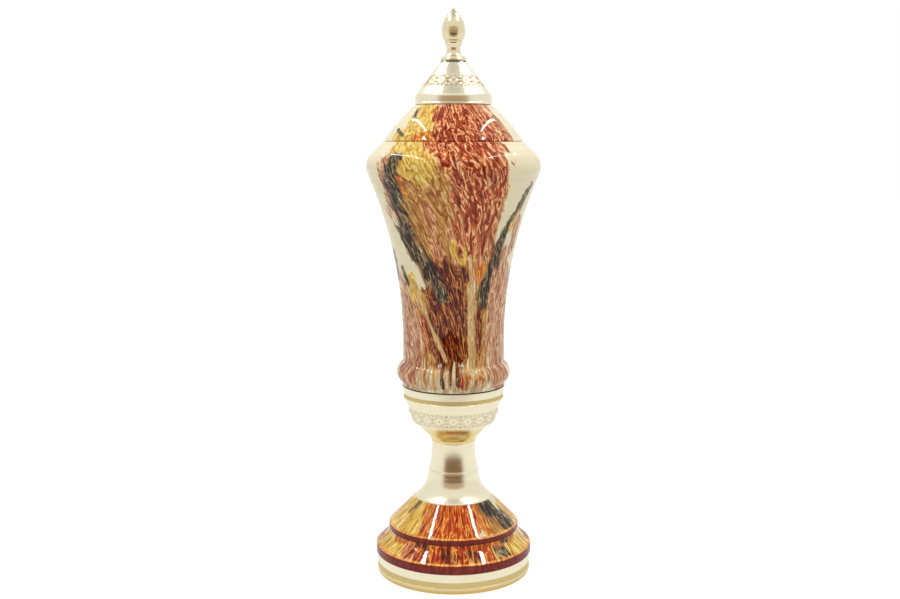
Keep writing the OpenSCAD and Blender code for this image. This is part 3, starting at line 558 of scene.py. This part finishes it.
cup_pours = {
    # Sand across the bead: its pale paint, widened to the left as a painted highlight that pales the
    # bead
    "sand_and_sheen": [(-62, 168, 36, 168, 7), (-50, 161, 30, 161, 6)],
    "rose": [(-48, 332, -52, 300, 9), (-50, 300, -36, 262, 7), (-36, 262, -14, 232, 6),
             (-58, 224, -60, 178, 17), (52, 242, 56, 176, 14), (45, 264, 47, 240, 9),
             (31, 330, 29, 288, 9), (-66, 172, -60, 160, 6), (-47, 174, -44, 160, 3),
             (46, 168, 66, 160, 9), (75, 240, 80, 180, 9), (64, 284, 66, 268, 7),
             (120, 250, 112, 180, 12), (215, 300, 205, 240, 12), (212, 246, 208, 184, 9),
             (148, 236, 150, 176, 8), (-95, 240, -92, 180, 9), (-120, 170, -130, 162, 12)],
    "tan": [(-28, 324, -26, 284, 22), (-8, 320, -2, 266, 21), (14, 330, 12, 262, 16),
            (26, 300, 28, 250, 11), (-8, 340, 26, 336, 9), (28, 240, 29, 178, 6),
            (-30, 228, -26, 182, 8), (-18, 262, -12, 250, 12), (-31, 180, -29, 160, 1.6),
            (-21, 178, -20, 158, 1.2), (13, 176, 14, 158, 1.3), (22, 176, 23, 160, 1.2),
            (31, 180, 30, 164, 1.6), (140, 320, 150, 260, 18), (165, 300, 178, 260, 16),
            (200, 320, 195, 250, 16), (188, 246, 184, 178, 10), (150, 166, 205, 162, 5),
            (-110, 320, -100, 270, 10)],
    "salmon": [(3, 322, 6, 262, 7), (32, 322, 29, 262, 7), (20, 300, 19, 246, 8),
               (-20, 300, -14, 262, 4), (160, 310, 172, 262, 9), (196, 310, 190, 262, 8)],
    "yellow": [(-46, 342, -12, 341, 6), (-34, 333, -20, 324, 9), (-24, 340, -14, 333, 6),
               (4, 268, 14, 259, 6), (64, 301, 55, 282, 3.5), (-48, 244, -44, 230, 5),
               (125, 338, 140, 330, 8), (-135, 300, -125, 270, 6), (215, 338, 230, 336, 6)],
    "orange": [(21, 334, 31, 327, 6), (43, 271, 40, 262, 4), (27, 251, 31, 244, 5),
               (-42, 324, -40, 310, 6), (18, 168, 26, 167, 2.4), (130, 260, 140, 240, 6),
               (-100, 225, -98, 190, 5)],
    "crimson": [(-12, 348, -4, 333, 9), (8, 348, 12, 306, 14), (17, 322, 15, 290, 7),
                (28, 342, 29, 324, 9), (12, 304, 14, 272, 4), (29, 308, 26, 264, 1.6),
                (35, 308, 31, 282, 1.6), (14, 272, 17, 246, 2.4), (3, 296, 6, 262, 1.6),
                (22, 300, 21, 268, 1.6), (33, 324, 31, 308, 5), (24, 348, 36, 343, 5),
                (6, 170, 10, 160, 1.6), (-52, 168, -46, 160, 2), (-35, 212, -30, 190, 3),
                (150, 342, 165, 325, 12), (170, 340, 178, 300, 12), (200, 338, 210, 320, 9)],
    "maroon": [(-12, 250, 4, 244, 9), (-9, 240, -6, 188, 13), (7, 238, 9, 186, 8),
               (29, 230, 29, 186, 2.5), (-24, 214, -19, 192, 4), (-13, 176, -11, 160, 1.6),
               (-3, 174, -3, 162, 1.2), (4, 174, 5, 161, 1.4), (165, 250, 172, 186, 9),
               (186, 238, 184, 184, 5), (200, 232, 196, 200, 3)],
    "ink": [(-42, 333, -46, 318, 6), (-46, 318, -48, 300, 7), (-47, 300, -43, 276, 7),
            (-43, 276, -36, 262, 6), (-34, 262, -23, 248, 5), (-23, 248, -12, 230, 4),
            (69, 314, 62, 302, 3.5), (62, 302, 50, 284, 3.5), (50, 284, 46, 272, 3.5),
            (43, 268, 43, 256, 6), (39, 251, 33, 238, 3.5), (33, 238, 31, 225, 4),
            (-60, 250, -55, 239, 2.5), (118, 325, 122, 290, 8), (122, 290, 135, 255, 6),
            (222, 330, 225, 290, 7), (225, 290, 212, 255, 6), (-75, 262, -78, 240, 3),
            (-12, 170, -11, 159, 1.0), (3, 171, 3, 162, 0.8)],
    "bare": [(15, 262, 18, 240, 1.6), (18, 240, 21, 168, 2.9), (178, 246, 182, 172, 2.2),
             (136, 240, 162, 184, 1.5), (-45, 242, -30, 214, 1.7), (-30, 214, -8, 180, 1.4),
             (21, 176, 21, 170, 2)],
}
lay_paint(cup, cup_pours,
          centre_line=[(150, 22), (182, 22), (242, 17), (290, 9), (350, -12), (380, -18)],
          spread=[(150, 0.5), (182, 0.65), (242, 0.05), (300, -0.25), (350, -0.35), (380, -0.2)],
          draw=[(150, 0), (300, 17), (335, 24), (380, 36)])
dress(cup, lacquer)
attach(cup, "trophy")
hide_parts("cup")


# ---- Dome ----
# The turned top of the cup, glued into it with a spigot. It stands back a hair at the
# crease and ends in the mouth that takes the lid's plug.

def through(a, b, radius, steps):
    """Arc of a given radius from a to b that bulges away from the axis."""
    a, b = Vector(a), Vector(b)
    chord = b - a
    aside = math.sqrt(radius ** 2 - chord.length ** 2 / 4) / chord.length
    centre = (a + b) / 2 + aside * Vector((-chord.y, chord.x))
    first = math.degrees(math.atan2(a.y - centre.y, a.x - centre.x))
    last = math.degrees(math.atan2(b.y - centre.y, b.x - centre.x))
    return arc(centre, radius, first, last, steps)


dome_top, mouth_r, mouth_foot, spigot_r, spigot_foot = 375.7, 22.5, 366.7, 46.75, 341.6
lip_r, lip_turn = 0.88, 33.4
dome_wall = through((crease_r - 0.5, 348.2), (30, dome_top), 125, 40)[1:]
lip_rise = math.radians(lip_turn)
lip = Vector(dome_wall[0]) - lip_r * Vector((math.cos(lip_rise), math.sin(lip_rise)))
dome_outline = (
    [(39.75, spigot_foot), (spigot_r, spigot_foot), (spigot_r, crease_z)]
    + arc(lip, lip_r, -90, lip_turn, 8)[:-1] + dome_wall + [(mouth_r, dome_top), (mouth_r, mouth_foot)]
    + through((24.5, mouth_foot), (39.75, 352), 118, 10)
)
dome = turned("dome_skin", dome_outline, 288, finest=1.5)
dome_pours = {
    "rose": [(48, 362, 52, 352, 6), (150, 366, 140, 355, 8), (-130, 362, -120, 352, 8)],
    "yellow": [(-36, 366, -24, 352, 12), (-56, 352, -20, 350, 5), (160, 360, 175, 352, 9)],
    "orange": [(-9, 367, -4, 364, 5), (-34, 351, -16, 352, 3.5), (205, 362, 210, 356, 7)],
    "crimson": [(-10, 370, -8, 350, 8), (8, 370, 8, 350, 16), (30, 367, 34, 350, 13),
                (185, 368, 200, 352, 14)],
    "ink": [(-54, 372, -46, 366, 1.1), (-62, 357, -47, 352, 1.0), (130, 364, 124, 350, 5)],
}
lay_paint(dome, dome_pours, centre_line=[(350, -12), (380, -18)],
          spread=[(350, -0.35), (380, -0.2)], draw=[(335, 24), (380, 36)])
dress(dome, lacquer)
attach(dome, "trophy")
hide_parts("dome")


# ---- Lid cap ----
# Cap of spun and plated brass over a wooden core: a beaded rim, an upright band, and a cone
# that runs straight off a rounding and has a rolled strip of lace diamonds. The finial's
# stud draws it down on the core.

cap_top, cap_round_r = 408.4, 3.8
cap_round, cap_edge = Vector((26.0, 381.7)), Vector((10.4, cap_top))
# Angle on the rounding at which the straight cone leaves it for the edge of the flat top
reach = cap_edge - cap_round
leaves = math.degrees(math.atan2(reach.y, reach.x) - math.acos(cap_round_r / reach.length))
cap_rounding = arc(cap_round, cap_round_r, 0, leaves, 10)
cone_foot = Vector(cap_rounding[-1])
cap_outline = (
    [(28.9, 376.1)] + arc((29.08, 376.9), 1.07, -48, 48, 8) + cap_rounding
    + [tuple(cone_foot.lerp(cap_edge, i / 64)) for i in range(1, 65)]
    + [(0, cap_top), (0, 407.5), (9.9, 407.5)] + arc(cap_round, 2.9, leaves, 0, 4)
)
cap = turned("lid_cap_skin", cap_outline, 640)
emboss(cap, foot_z=389.9, head_z=399.0, count=14, depth=0.35)
dress(cap, plating("champagne_plating_cap", relief=1.6))
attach(cap, "lid")
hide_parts("lid_cap")


# ---- Finial ----
# A bud on a collar and a waisted neck, turned from brass and plated as the cap. It screws
# onto the lid's stud, over a black washer.

dress(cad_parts["finial"], plating("champagne_plating_finial", body="#ddcfa6"))


# ---- Studio ----
# A white sweep under soft light. Two lamps hang on each side, two softboxes fill from the
# front and the top, and the dark end of the room lies behind the camera.

bpy.ops.mesh.primitive_plane_add(size=12, location=(0, 0, 0))
floor = bpy.context.object
floor.name = "sweep"
paper, tree, out = finish_of("white_paper_sweep")
# The camera sees white with the object's shadow on it, and reflections see plain white
ray = add(tree, "LightPath")
matt = add(tree, "BsdfDiffuse", Color=(0.8, 0.8, 0.8, 1)).outputs[0]
lit = add(tree, "Emission", Color=(1, 1, 1, 1), Strength=0.8).outputs[0]
shaded = add(tree, "BsdfDiffuse", Color=(0.5, 0.5, 0.5, 1)).outputs[0]
lit = add(tree, "AddShader", i0=shaded, i1=lit).outputs[0]
shown = add(tree, "Emission", Color=(1, 1, 1, 1), Strength=1.1).outputs[0]
face = add(tree, "MixShader", i0=ray.outputs["Is Camera Ray"], i1=matt, i2=lit).outputs[0]
seen = add(tree, "Math", {"operation": "MAXIMUM"}, i0=ray.outputs["Is Glossy Ray"],
           i1=ray.outputs["Is Transmission Ray"]).outputs[0]
face = add(tree, "MixShader", i0=seen, i1=face, i2=shown).outputs[0]
tree.links.new(face, out.inputs["Surface"])
floor.data.materials.append(paper)

world = bpy.data.worlds.new("studio")
bpy.context.scene.world = world
world.use_nodes = True
tree = world.node_tree
tree.nodes.clear()
out = tree.nodes.new("ShaderNodeOutputWorld")
ray = add(tree, "LightPath")
seen = add(tree, "Math", {"operation": "MAXIMUM"}, i0=ray.outputs["Is Camera Ray"],
           i1=ray.outputs["Is Glossy Ray"]).outputs[0]
seen = add(tree, "Math", {"operation": "MAXIMUM"}, i0=seen,
           i1=ray.outputs["Is Transmission Ray"]).outputs[0]
# White walls, and a ceiling that gives back a little less
upward = add(tree, "SeparateXYZ", Vector=add(tree, "TexCoord").outputs["Generated"]).outputs["Z"]
white = add(tree, "MapRange", {"interpolation_type": "SMOOTHSTEP"}, Value=upward,
            From_Min=0.84, From_Max=0.955, To_Min=1.0, To_Max=0.66).outputs["Result"]
white = add(tree, "Math", {"operation": "MAXIMUM"}, i0=white,
            i1=ray.outputs["Is Camera Ray"]).outputs[0]
strength = add(tree, "Mix", Factor=seen, i2=0.5, i3=white).outputs[0]
sky = add(tree, "Background", Color=(1, 1, 1, 1), Strength=strength)
tree.links.new(sky.outputs[0], out.inputs["Surface"])

# The dark end of the room and its floor. Only reflections show them, and the room grows
# lighter upwards and towards its sides.
shade, tree, out = finish_of("dim_room")
place = add(tree, "SeparateXYZ", Vector=add(tree, "NewGeometry").outputs["Position"])
side = add(tree, "Math", {"operation": "ABSOLUTE"}, i0=place.outputs["X"]).outputs[0]
side = add(tree, "MapRange", {"interpolation_type": "SMOOTHSTEP"}, Value=side,
           From_Min=1.4, From_Max=2.5).outputs["Result"]
up = add(tree, "MapRange", {"interpolation_type": "SMOOTHSTEP"}, Value=place.outputs["Z"],
         From_Min=0.3, From_Max=0.46).outputs["Result"]
tint = add(tree, "Mix", {"data_type": "RGBA"}, Factor=up, A=linear("#866748"),
           B=linear("#d2b9a2")).outputs["Result"]
tint = add(tree, "Mix", {"data_type": "RGBA"}, Factor=side, A=tint,
           B=linear("#ffffff")).outputs["Result"]
tree.links.new(add(tree, "Emission", Color=tint, Strength=0.95).outputs[0], out.inputs["Surface"])
for name, place, turn, half_wide, half_long in (
        ("dark_end_of_room", (0, -2.0, 0.62), 90, 2.6, 0.62),
        ("dark_floor", (0, -1.43, 0.0002), 0, 1.3, 0.57)):
    bpy.ops.mesh.primitive_plane_add(size=2, location=place, rotation=(math.radians(turn), 0, 0))
    room = bpy.context.object
    room.name = name
    room.scale = (half_wide, half_long, 1)
    room.visible_camera = room.visible_diffuse = False
    room.visible_shadow = room.visible_transmission = False
    room.data.materials.append(shade)

# Two lamps on each side: a long strip beside the object, and a short wider one before it.
# Each is given by its near and far end, its width in metres and its watts.
lamp_height = 1.5
side_lamps = (((0.68, -0.10), (1.0, 0.92), 0.035, 5.8), ((0.79, -0.38), (0.79, -0.18), 0.11, 3.4))
for side in (-1, 1):
    for near, far, wide, power in side_lamps:
        a = Vector((side * near[0], near[1], lamp_height))
        b = Vector((side * far[0], far[1], lamp_height))
        lamp = bpy.data.lights.new("strip_lamp", "AREA")
        lamp.shape, lamp.size, lamp.size_y, lamp.energy = "RECTANGLE", wide, (b - a).length, power
        hung = bpy.data.objects.new("strip_lamp", lamp)
        hung.location = (a + b) / 2
        hung.rotation_euler = (0, 0, math.atan2(b.y - a.y, b.x - a.x) - math.pi / 2)
        bpy.context.scene.collection.objects.link(hung)
# Softboxes that light the paint and show in no reflection
for name, place, size, power in (("front_softbox", (0, -1.9, 1.6), 1.4, 6.5),
                                 ("top_softbox", (0, -0.3, 2.0), 1.2, 7)):
    soft = bpy.data.lights.new(name, "AREA")
    soft.shape, soft.size, soft.energy = "SQUARE", size, power
    hung = bpy.data.objects.new(name, soft)
    hung.location = place
    hung.rotation_euler = (Vector((0, 0, 0.25)) - hung.location).to_track_quat("-Z", "Y").to_euler()
    hung.visible_glossy = False
    bpy.context.scene.collection.objects.link(hung)

# The camera stands two heights away, level with the dome, and looks down a little
look_down = 7.884
lens = bpy.data.cameras.new("camera")
lens.sensor_width = 36
lens.lens = 46.5
lens.shift_x = -0.0039
eye = bpy.data.objects.new("camera", lens)
eye.location = (0, -0.92, 0.35)
eye.rotation_euler = (math.radians(90 - look_down), 0, 0)
bpy.context.scene.collection.objects.link(eye)
bpy.context.scene.camera = eye
bpy.context.scene.view_settings.view_transform = "Standard"
